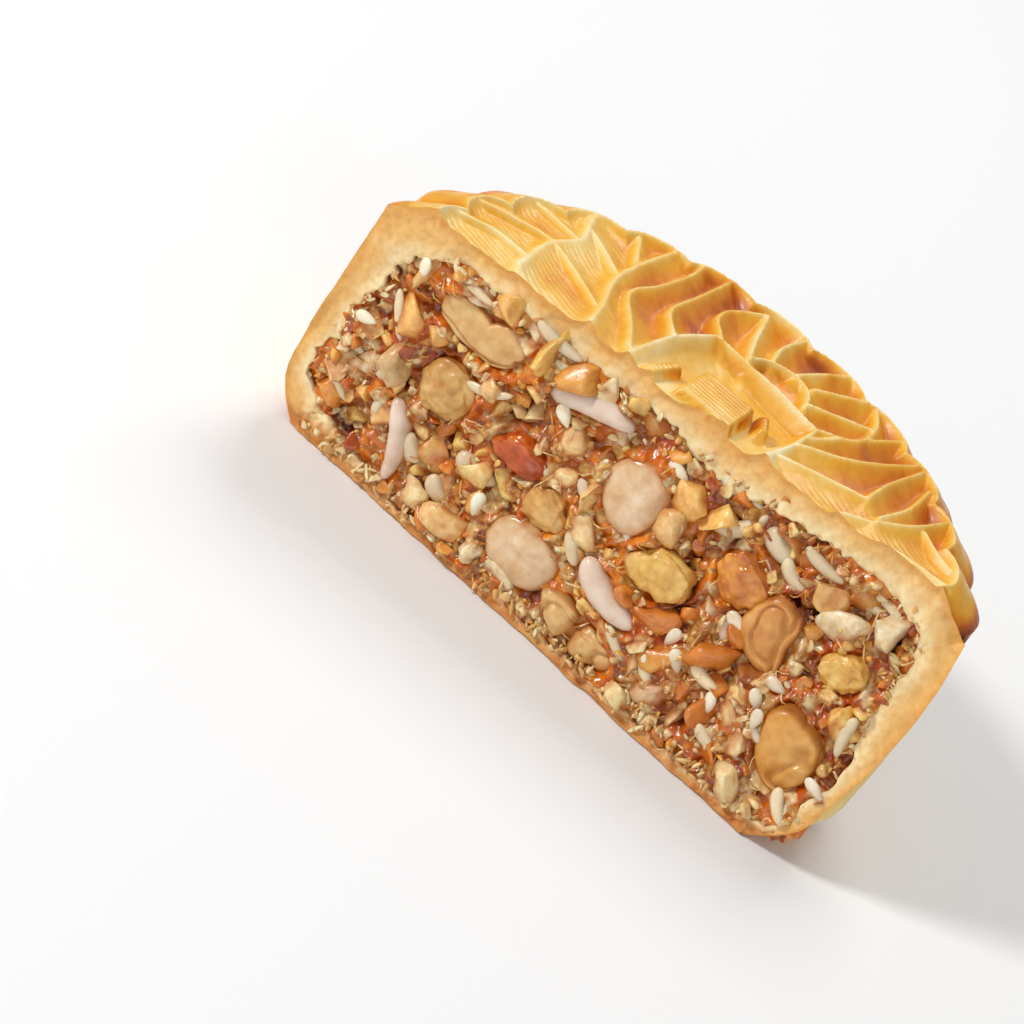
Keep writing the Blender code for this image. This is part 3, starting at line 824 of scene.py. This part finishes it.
def cut_flat(unit, seed, outline, front):
    """A body with a flat cut front; outline gives its reach at even bearings, from +X toward +Z."""
    x, y, z = unit.T
    bearing = np.arctan2(z, x) % math.tau
    corners = np.arange(len(outline) + 1) * math.tau / len(outline)
    reach = np.interp(bearing, corners, (*outline, outline[0]))
    reach = reach * (1 + 0.05 * lump(unit, 0.5, seed + 1))
    flat = np.where(y < 0, -np.abs(y) ** 0.55 * front, y)
    flat = flat + 0.10 * lump(unit, 0.8, seed)
    return np.stack([x * reach, flat, z * reach], axis=1)


def walnut_meat(unit, seed, outline):
    """A slice through walnut: smooth pale meat, soft folds and a thin skin line."""
    shaped = cut_flat(unit, seed, outline, 0.62)
    around = np.hypot(unit[:, 0], unit[:, 2])
    fold = np.abs(lump(unit, 0.8, seed + 4))
    shaped[:, 1] += 0.20 * np.exp(-(fold / 0.10) ** 2) * (unit[:, 1] < 0)
    shade = 0.30 - 1.0 * ease(around, 0.86, 1.0) - 0.45 * np.exp(-(fold / 0.07) ** 2)
    return shaped, shade


def curled_walnut(unit, seed, outline):
    """A walnut lobe curled like a comma."""
    shaped, shade = walnut_meat(unit, seed, outline)
    shaped[:, 2] = shaped[:, 2] * (1 - 0.25 * shaped[:, 0]) + 0.35 * (shaped[:, 0] ** 2 - 0.4)
    return shaped, shade


def forked_walnut(unit, seed, outline):
    """Two walnut lobes that meet in a V."""
    shaped, shade = walnut_meat(unit, seed, outline)
    x = shaped[:, 0].copy()
    cleft = np.exp(-((x + 0.05) / 0.13) ** 2)
    shaped[:, 1] += 0.60 * cleft * (unit[:, 1] < 0)
    shaped[:, 2] = shaped[:, 2] * (1 - 0.25 * cleft) + 0.40 * np.abs(x + 0.05) - 0.15
    return shaped, shade - 0.8 * cleft


def chopped_nut(unit, seed, outline):
    """A nut with a knife-cut front and a crumbly edge."""
    shaped = cut_flat(unit, seed, outline, 0.75)
    shaped = shaped * (1 + 0.12 * lump(unit, 0.28, seed))[:, None]
    around = np.hypot(unit[:, 0], unit[:, 2])
    shade = 0.55 * lump(unit, 0.4, seed + 2) - 0.5 * ease(around, 0.85, 1.0)
    return shaped, shade + 0.20


PALE_KERNEL = ((246, 226, 196), (226, 190, 144), (196, 142, 84))
MELON_SEED = ((244, 228, 214), (228, 204, 182), (198, 154, 112))
WALNUT = ((238, 204, 146), (222, 178, 112), (170, 104, 48))
YELLOW_NUT = ((250, 222, 146), (230, 184, 92), (190, 126, 50))
AMBER_PEEL = ((226, 124, 34), (194, 82, 14), (136, 46, 8))

# Each kernel's form, tones, seed, and its outline: the reach of a cut piece at
# even bearings, the bow of a melon seed, or the taper of an apricot half.
KERNEL_FORMS = {
    "walnut_slice": (walnut_meat, WALNUT, 31,
                     (0.80, 1.08, 1.30, 0.50, 0.86, 1.20, 1.0, 0.94, 0.86, 0.78, 0.88, 0.84)),
    "round_nut": (chopped_nut, ((238, 208, 140), (210, 166, 92), (162, 110, 50)), 44,
                  (0.96, 1.0, 0.92, 0.98, 1.02, 0.96, 1.0, 0.94, 1.0)),
    "melon_seed_upper": (crescent, MELON_SEED, 52, -0.55),
    "apricot_kernel_upper": (split_apricot, PALE_KERNEL, 63, 0.14),
    "apricot_kernel_lower": (split_apricot, PALE_KERNEL, 71, 0.06),
    "melon_seed_middle": (crescent, MELON_SEED, 82, 0.60),
    "nut_chunk": (chopped_nut, YELLOW_NUT, 93, (1.05, 0.90, 1.0, 0.78, 1.08, 0.92, 0.80, 1.0)),
    "walnut_wedge": (forked_walnut, WALNUT, 104, (1.0, 0.92, 0.84, 1.0, 1.02, 0.90, 0.84, 0.96)),
    "walnut_curl": (curled_walnut, ((238, 190, 116), (214, 148, 72), (162, 92, 36)), 115,
                    (0.92, 1.04, 0.86, 1.0, 0.90, 1.04, 0.84, 1.0, 0.92)),
    "candied_peel": (chopped_nut, AMBER_PEEL, 126, (1.08, 0.84, 1.0, 0.76, 1.1, 0.86, 0.96)),
    "candied_melon": (chopped_nut, ((240, 172, 76), (216, 134, 44), (168, 86, 24)), 137,
                      (0.96, 1.06, 0.84, 1.0, 1.04, 0.86, 1.0)),
    "walnut_lump": (walnut_meat, ((244, 200, 116), (220, 158, 72), (164, 94, 32)), 148,
                    (1.0, 0.86, 0.98, 1.06, 0.82, 0.96, 1.02, 0.84, 0.92, 1.0)),
    "melon_seed_left": (crescent, MELON_SEED, 159, -0.80),
    "kernel_block": (chopped_nut, ((242, 210, 138), (218, 170, 94), (172, 112, 52)), 160,
                     (1.1, 0.86, 1.06, 0.86, 1.04, 0.90)),
    "pale_nut": (chopped_nut, YELLOW_NUT, 171, (1.0, 1.06, 0.84, 1.0, 0.90, 1.06, 0.86)),
}


def nut_finish(name, rough_low, rough_high, coat, grain_mm, bump_mm, shade_low):
    """Toned by the piece's own colours, mottled, with a soft uneven gloss."""
    made, tree, shader = new_material(name)
    mix = tree.nodes.new("ShaderNodeMix")
    mix.data_type = "RGBA"
    mix.blend_type = "MULTIPLY"
    mix.inputs["Factor"].default_value = 1.0
    tree.links.new(read_tone(tree, "tone"), mix.inputs["A"])
    stops = [(0.3, shade_low), (0.62, (255, 255, 255))]
    tree.links.new(ramp(tree, grain(tree, grain_mm, 4), stops), mix.inputs["B"])
    tree.links.new(mix.outputs["Result"], shader.inputs["Base Color"])
    gloss = spread(tree, grain(tree, grain_mm * 1.6, 2), rough_low, rough_high)
    tree.links.new(gloss, shader.inputs["Roughness"])
    bump(tree, shader, grain(tree, grain_mm * 0.5, 3), bump_mm, 0.6)
    shader.inputs["Coat Weight"].default_value = coat
    shader.inputs["Coat Roughness"].default_value = 0.18
    shader.inputs["Subsurface Weight"].default_value = 0.2
    shader.inputs["Subsurface Scale"].default_value = 0.002
    return made


walnut_finish = nut_finish("walnut_meat", 0.30, 0.50, 0.2, 1.4, 0.05, (238, 220, 194))
kernel_finish = nut_finish("split_kernel", 0.18, 0.34, 0.5, 1.2, 0.08, (242, 230, 214))
seed_finish = nut_finish("melon_seed", 0.28, 0.42, 0.15, 2.0, 0.02, (244, 236, 226))
chopped_finish = nut_finish("chopped_nut", 0.24, 0.46, 0.3, 0.9, 0.16, (236, 214, 176))
candied_finish = nut_finish("candied_fruit", 0.10, 0.26, 0.5, 1.3, 0.06, (214, 176, 140))

FINISHES = {
    "walnut": (walnut_finish, "walnut"),
    "apricot": (kernel_finish, "kernel"),
    "melon": (seed_finish, "seed"),
    "candied": (candied_finish, "candied"),
}

for node, (form, colours, seed, outline) in KERNEL_FORMS.items():
    made = kernel_piece(node, form, colours, seed, outline)
    finish, slot_name = FINISHES.get(node.split("_")[0], (chopped_finish, "nut"))
    made.data.materials.append(finish)

# ---------------------------------------------------------------------------
# Chopped nuts. Walnut, almond and peanut are crushed to between 1.5 and 5 mm
# and kneaded in, so that they crowd the face with cut flats at every angle.

taken = []
for node, (size, turn) in KERNELS.items():
    middle_x, _, middle_z = kernel_place(node)
    lean = math.radians(turn)
    for step in (-0.34, 0.0, 0.34):
        taken.append((middle_x + step * size[0] * math.cos(lean), middle_z - step * size[0] * math.sin(lean),
                      size[1] * 0.46 if size[0] > 1.6 * size[1] else size[1] * 0.40))


def free_places(count, smallest, largest, crowding, dice, tries=40):
    """Places on the face for pieces of falling size, clear of what lies there."""
    found = []
    sizes = np.sort(dice.uniform(0, 1, count) ** 1.7)[::-1] * (largest - smallest) + smallest
    for size in sizes:
        for _ in range(tries):
            x = dice.uniform(-38.5, 38.8)
            z = dice.uniform(1.6, 30.4)
            if filling_reach(np.array(x), np.array(z)) > 1.0 - size * 0.018:
                continue
            reach = size * crowding
            if all((x - a) ** 2 + (z - b) ** 2 > (reach + c) ** 2 for a, b, c in taken):
                taken.append((x, z, reach))
                found.append((x, z, size))
                break
    return found


def random_turns(dice, count):
    """Rotation matrices at random."""
    quaternions = dice.normal(size=(count, 4))
    quaternions /= np.linalg.norm(quaternions, axis=1)[:, None]
    w, x, y, z = quaternions.T
    return np.stack([
        np.stack([1 - 2 * (y * y + z * z), 2 * (x * y - z * w), 2 * (x * z + y * w)], 1),
        np.stack([2 * (x * y + z * w), 1 - 2 * (x * x + z * z), 2 * (y * z - x * w)], 1),
        np.stack([2 * (x * z - y * w), 2 * (y * z + x * w), 1 - 2 * (x * x + y * y)], 1)], 1)


def strew(name, shapes, faces, places, sizes, turns, tones, stain):
    """Join a copy of a shape at each place into one piece."""
    points = []
    indexes = []
    colours = []
    total = 0
    for number, (place, size, turn, tone) in enumerate(zip(places, sizes, turns, tones)):
        shape = shapes[number % len(shapes)]
        placed = shape @ turn.T * size + place
        placed[:, 2] = np.maximum(placed[:, 2], 0.1)
        points.append(placed)
        indexes.append(faces + total)
        mottle = 1 + 0.24 * lump(shape, 0.7, number * 1.7)
        mottled = np.clip(tone[None, :] * mottle[:, None], 0, 1)
        colours.append(syrup_stained(placed, mottled, stain, 0.25 + 0.35 * size))
        total += len(shape)
    return piece_from(name, np.vstack(points), np.vstack(indexes), np.vstack(colours))


NUT_TONES = [(255, 230, 176), (255, 214, 146), (252, 198, 116), (244, 176, 84), (255, 238, 200),
             (228, 142, 58), (255, 212, 122), (255, 222, 164)]
chop_points, chop_faces = ball(3)
chop_shapes = []
for number in range(24):
    shape = chop(chop_points, False, 300 + number, 9, 0.32, 0.72)
    stretch = np.array([1.0, 0.55 + 0.4 * ((number * 7) % 10) / 10, 0.62 + 0.3 * ((number * 3) % 10) / 10])
    chop_shapes.append(shape * stretch * (1 + 0.16 * lump(chop_points, 0.6, number)[:, None]
                                          + 0.07 * lump(chop_points, 0.25, number + 40)[:, None]))

dice = np.random.default_rng(77)
spots = free_places(460, 1.1, 4.4, 0.45, dice)
nut_x, nut_z, nut_size = np.array(spots).T
nut_depth = paste_depth(nut_x, nut_z) + nut_size * dice.uniform(0.08, 0.32, len(spots))
nut_places = np.stack([nut_x, nut_depth, nut_z], axis=1)
nut_tones = np.array([linear(*NUT_TONES[i]) for i in dice.integers(len(NUT_TONES), size=len(spots))])
nut_tones *= dice.uniform(0.84, 1.06, len(spots))[:, None]
chopped_nuts = strew("chopped_nuts", chop_shapes, chop_faces, nut_places, nut_size * 0.92,
                     random_turns(dice, len(spots)), nut_tones, 0.85)
chopped_nuts.data.materials.append(chopped_finish)
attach(chopped_nuts, "root")

# Nut grit, from 0.6 to 1.6 mm, sits between the larger cuts.
grit_points, grit_faces = ball(2)
grit_shapes = [chop(grit_points, False, 500 + number, 6, 0.35, 0.8)
               * np.array([1.0, 0.5, 0.45 + 0.03 * number]) for number in range(16)]
count = 640
grit_x = dice.uniform(-38.6, 38.8, count * 2)
grit_z = dice.uniform(1.2, 30.6, count * 2)
fits = filling_reach(grit_x, grit_z) < 1.0
for middle_x, middle_z, reach in taken[:3 * len(KERNELS)]:
    fits &= np.hypot(grit_x - middle_x, grit_z - middle_z) > reach * 0.95
grit_x = grit_x[fits][:count]
grit_z = grit_z[fits][:count]
grit_size = 0.35 + 0.75 * dice.uniform(0, 1, len(grit_x)) ** 1.5
grit_depth = paste_depth(grit_x, grit_z) + grit_size * dice.uniform(-0.3, 0.5, len(grit_x))
grit_tones = np.array([linear(*NUT_TONES[i]) for i in dice.integers(len(NUT_TONES), size=len(grit_x))])
grit_tones *= dice.uniform(0.7, 1.05, len(grit_x))[:, None]
nut_grit = strew("nut_grit", grit_shapes, grit_faces, np.stack([grit_x, grit_depth, grit_z], axis=1),
                 grit_size, random_turns(dice, len(grit_x)), grit_tones, 0.6)
nut_grit.data.materials.append(chopped_finish)
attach(nut_grit, "root")

# ---------------------------------------------------------------------------
# Sesame seeds. Hulled white sesame, 3 mm long, flat and pointed at one end,
# kneaded in whole. A few lie loose on the face.

SESAME_LENGTH = 3.1
# Place across and up, mm, and turn in the face, degrees.
SESAME = [
    (7.0, 21.6, 60), (-4.4, 18.3, 50), (-31.6, 13.8, -70), (-36.9, 18.0, -10), (-11.2, 24.2, 40),
    (19.1, 17.4, 15), (14.3, 11.3, 100), (16.4, 10.0, 50), (27.2, 15.1, 5), (27.8, 11.4, 80),
    (30.3, 11.6, 40), (28.8, 9.5, 25), (38.0, 9.4, 20), (-34.4, 27.8, 75), (-13.4, 8.6, 80),
    (26.4, 12.8, 50), (18.6, 15.6, 65), (3.2, 27.4, 10), (-9.4, 17.0, 30), (22.4, 8.6, 70),
]
seed_points, seed_faces = ball(3)
x, y, z = seed_points.T
pointed = np.where(x > 0, 1 - 0.25 * x ** 2, 1)
sesame_shape = np.stack([x * 0.5, y * 0.17, z * (0.26 - 0.09 * x) * pointed], axis=1)
sesame_turns = []
for _, _, turn in SESAME:
    flat = Matrix.Rotation(math.radians(turn), 3, "Y")
    tip = Matrix.Rotation(math.radians(dice.uniform(-28, 28)), 3, "X")
    sesame_turns.append(np.array(flat @ tip))
sesame_x, sesame_z, _ = np.array(SESAME).T
sesame_depth = paste_depth(sesame_x, sesame_z) - 0.45
sesame_places = np.stack([sesame_x, sesame_depth, sesame_z], axis=1)
sesame = strew("sesame_seeds", [sesame_shape], seed_faces, sesame_places,
               np.full(len(SESAME), SESAME_LENGTH) * dice.uniform(0.88, 1.05, len(SESAME)), sesame_turns,
               np.tile(np.array(linear(246, 232, 206)), (len(SESAME), 1)), 0.35)
sesame.data.materials.append(seed_finish)
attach(sesame, "root")

# ---------------------------------------------------------------------------
# Seed slivers. Melon seeds and almond shavings seen on edge, pale and thin.

# Place across and up, mm, length, width, turn in degrees, and bow.
SLIVERS = [
    (12.6, 26.0, 7.0, 2.0, -48, 0.5), (17.6, 27.0, 5.0, 2.6, 20, 0.1), (-16.6, 31.0, 7.0, 1.6, 4, 0.2),
    (14.6, 6.2, 5.6, 1.5, 52, 0.1), (-34.0, 20.6, 6.6, 1.1, 58, 0.2), (-36.2, 13.6, 4.0, 1.1, 20, 0.3),
    (-12.8, 28.6, 6.0, 1.3, 8, 0.1), (21.0, 25.4, 5.0, 1.8, 30, 0.3), (-24.0, 8.0, 4.2, 2.4, 40, 0.1),
    (-16.0, 11.4, 5.8, 2.6, 6, 0.1), (10.4, 29.2, 6.4, 1.5, 4, 0.1), (23.0, 28.6, 6.0, 1.6, 8, 0.2),
    (29.4, 28.0, 5.0, 1.6, 12, 0.2), (33.6, 20.8, 4.4, 1.8, 78, 0.2), (-20.0, 20.6, 6.0, 1.3, -24, 0.3),
    (2.6, 17.6, 4.4, 1.3, 62, 0.2), (-29.8, 8.4, 4.6, 1.2, 70, 0.4), (37.0, 15.6, 5.4, 1.5, 80, 0.2),
    (20.0, 10.4, 4.4, 1.7, 10, 0.2), (-1.4, 12.2, 5.0, 1.9, 58, 0.2), (-35.4, 8.0, 4.6, 1.2, 35, 0.2),
    (-18.4, 6.0, 4.2, 2.2, 30, 0.2), (9.4, 6.8, 4.4, 1.3, 30, 0.1), (-28.6, 29.8, 6.6, 1.2, 10, 0.2),
    (36.0, 5.2, 4.6, 1.6, 50, 0.2), (24.8, 5.0, 4.6, 1.6, 20, 0.2),
]
full_x, full_y, full_z = blunt(seed_points)
sliver_points = []
sliver_faces = []
sliver_tones = []
for number, (place_x, place_z, length, width, turn, bow) in enumerate(SLIVERS):
    body = np.stack([full_x * length / 2, full_y * width * 0.40,
                     full_z * width / 2 * (1 - 0.2 * full_x) + bow * width * (full_x ** 2 - 0.4)], axis=1)
    depth = float(paste_depth(np.array(place_x), np.array(place_z))) - 0.25
    tip = np.array(Matrix.Rotation(math.radians(dice.uniform(-12, 12)), 3, "Z"))
    sliver_points.append(turned_in_face(body @ tip.T, turn) + np.array([place_x, depth, place_z]))
    sliver_faces.append(seed_faces + number * len(seed_points))
    tone = np.array(linear(246, 224, 186)) * dice.uniform(0.78, 1.0)
    sliver_tones.append(np.clip(tone * (1 - 0.20 * ease(np.abs(z), 0.6, 1.0))[:, None], 0, 1))
slivers = piece_from("seed_slivers", np.vstack(sliver_points), np.vstack(sliver_faces),
                     np.vstack(sliver_tones))
slivers.data.materials.append(seed_finish)
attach(slivers, "root")

# ---------------------------------------------------------------------------
# Candied bits. Sugared orange peel and winter melon, chopped small, clear
# enough to glisten amber between the nuts.

CANDIED_TONES = [(206, 104, 30), (186, 84, 24), (222, 134, 48), (160, 70, 26), (230, 156, 70)]
spots = free_places(36, 1.0, 2.8, 0.30, dice, 80)
bit_x, bit_z, bit_size = np.array(spots).T
bit_depth = paste_depth(bit_x, bit_z) + bit_size * 0.08
bit_tones = np.array([linear(*CANDIED_TONES[i]) for i in dice.integers(len(CANDIED_TONES), size=len(spots))])
candied_bits = strew("candied_bits", chop_shapes, chop_faces, np.stack([bit_x, bit_depth, bit_z], axis=1),
                     bit_size * 0.9, random_turns(dice, len(spots)), bit_tones, 0.3)
candied_bits.data.materials.append(candied_finish)
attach(candied_bits, "root")

# ---------------------------------------------------------------------------
# Fibres. Shreds of peel and strands of syrup that the break pulled out of the
# paste, a few millimetres long and finer than a seed.

STRAND_STEPS = 9
STRAND_SIDES = 5
strand_points = []
strand_faces = []
strand_tones = []
around = np.arange(STRAND_SIDES) * math.tau / STRAND_SIDES
for number in range(130):
    start_x = dice.uniform(-37, 37)
    start_z = dice.uniform(2.5, 29.5)
    bearing = dice.uniform(0, math.tau)
    curl = dice.uniform(-0.16, 0.16)
    length = dice.uniform(1.6, 4.6)
    thick = dice.uniform(0.05, 0.13)
    lift = dice.uniform(0.3, 1.1)
    x_now = start_x
    z_now = start_z
    first = len(strand_points) * STRAND_SIDES
    for step in range(STRAND_STEPS):
        arch = lift * math.sin(math.pi * step / (STRAND_STEPS - 1))
        depth = float(paste_depth(np.array(x_now), np.array(z_now))) - arch
        ring = np.stack([x_now + thick * np.cos(around) * -math.sin(bearing),
                         depth + thick * np.sin(around),
                         z_now + thick * np.cos(around) * math.cos(bearing)], axis=1)
        strand_points.append(ring)
        if step:
            base = first + (step - 1) * STRAND_SIDES
            for k in range(STRAND_SIDES):
                k_next = (k + 1) % STRAND_SIDES
                above = base + STRAND_SIDES
                strand_faces.append((base + k, base + k_next, above + k_next, above + k))
        x_now = min(max(x_now + math.cos(bearing) * length / STRAND_STEPS, -38.5), 38.5)
        z_now = min(max(z_now + math.sin(bearing) * length / STRAND_STEPS, 1.5), 30.0)
        bearing += curl
    tone = np.array(linear(*[(232, 190, 120), (206, 132, 60), (240, 208, 150)][number % 3]))
    strand_tones.append(np.tile(tone, (STRAND_STEPS * STRAND_SIDES, 1)))
strands = piece_from("syrup_strands", np.vstack(strand_points), strand_faces, np.vstack(strand_tones))
strands.data.materials.append(chopped_finish)
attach(strands, "root")

# ---------------------------------------------------------------------------
# Dough flakes. Short crumbs and thin torn flakes of crust that hang along the
# base and the sides of the break.

flake_places = []
flake_sizes = []
for _ in range(260):
    along = dice.uniform(-37, 33)
    flake_places.append((along, dice.uniform(0.7, 2.6)))
    flake_sizes.append(dice.uniform(0.4, 1.5))
for _ in range(110):
    up = dice.uniform(2, 28)
    side = -1 if dice.uniform() < 0.5 else 1
    at_edge = side * float(filling_width(np.array(side), np.array(up))) + dice.uniform(-0.8, 0.7)
    flake_places.append((at_edge, up))
    flake_sizes.append(dice.uniform(0.3, 1.0))
for _ in range(120):
    flake_places.append((dice.uniform(-34, 36), dice.uniform(29.8, 31.2)))
    flake_sizes.append(dice.uniform(0.3, 0.9))
flake_x, flake_z = np.array(flake_places).T
flake_size = np.array(flake_sizes)
flake_z = np.maximum(flake_z, flake_size * 0.55)
flake_y = break_y(flake_x, flake_z) + dice.uniform(-0.1, 0.8, len(flake_x))
DOUGH_TONES = [(246, 224, 176), (236, 204, 146), (224, 178, 112), (204, 146, 82)]
flake_tones = np.array([linear(*DOUGH_TONES[i]) for i in dice.integers(len(DOUGH_TONES), size=len(flake_x))])
flake_shapes = [shape * np.array([1, 0.5, 0.55]) for shape in grit_shapes]
dough_flakes = strew("dough_flakes", flake_shapes, grit_faces, np.stack([flake_x, flake_y, flake_z], axis=1),
                     flake_size, random_turns(dice, len(flake_x)), flake_tones, 0.0)
dough_flakes.data.materials.append(dough_finish)
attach(dough_flakes, "root")

# ---------------------------------------------------------------------------
# Studio. A pale floor, a large soft light over and behind the cake, and broad
# fill from the front, as for food on white.

floor_mesh = bpy.data.meshes.new("floor")
floor_mesh.from_pydata([(-3, -3, 0), (3, -3, 0), (3, 3, 0), (-3, 3, 0)], [], [(0, 1, 2, 3)])
floor = bpy.data.objects.new("floor", floor_mesh)
floor.location.z = -0.0002
bpy.context.scene.collection.objects.link(floor)
floor_finish, tree, shader = new_material("pale_floor")
shader.inputs["Base Color"].default_value = (0.92, 0.92, 0.92, 1)
shader.inputs["Roughness"].default_value = 0.9
floor_mesh.materials.append(floor_finish)

CAMERA_AZIMUTH = 7.0
CAMERA_HEIGHT = 27.9
CAMERA_ROLL = 35.5
CAMERA_AWAY = 458.4
CAMERA_LENS = 137.7
AIM = Vector((-9.64, CAKE_Y, 10.14)) * MM

azimuth = math.radians(CAMERA_AZIMUTH)
height = math.radians(CAMERA_HEIGHT)
roll = math.radians(CAMERA_ROLL)
back = Vector((math.sin(azimuth) * math.cos(height), -math.cos(azimuth) * math.cos(height), math.sin(height)))
level = back.cross(Vector((0, 0, 1))).normalized() * -1
upright = back.cross(level)
right = level * math.cos(roll) + upright * math.sin(roll)
up = upright * math.cos(roll) - level * math.sin(roll)
camera_data = bpy.data.cameras.new("camera")
camera_data.lens = CAMERA_LENS
camera_data.sensor_width = 36
camera_data.clip_start = 0.01
camera = bpy.data.objects.new("camera", camera_data)
bpy.context.scene.collection.objects.link(camera)
turn = Matrix((right, up, back)).transposed().to_4x4()
camera.matrix_world = Matrix.Translation(AIM + back * CAMERA_AWAY * MM) @ turn
bpy.context.scene.camera = camera


def soft_light(name, place, size, watts):
    """A square soft box at a place in metres, aimed at the cake."""
    data = bpy.data.lights.new(name, "AREA")
    data.shape = "SQUARE"
    data.size = size
    data.energy = watts
    made = bpy.data.objects.new(name, data)
    made.location = place
    made.rotation_euler = (Vector((0, 0, 0.015)) - Vector(place)).to_track_quat("-Z", "Y").to_euler()
    bpy.context.scene.collection.objects.link(made)


soft_light("back_window", (-0.05, 0.42, 0.60), 0.35, 2.2)
soft_light("key_box", (-0.52, -0.30, 0.50), 0.16, 3.4)
soft_light("front_fill", (0.25, -0.75, 0.25), 0.60, 1.6)

world = bpy.data.worlds.new("studio")
world.use_nodes = True
world.node_tree.nodes["Background"].inputs["Color"].default_value = (1, 1, 1, 1)
world.node_tree.nodes["Background"].inputs["Strength"].default_value = 0.31
bpy.context.scene.world = world
bpy.context.scene.view_settings.view_transform = "Standard"
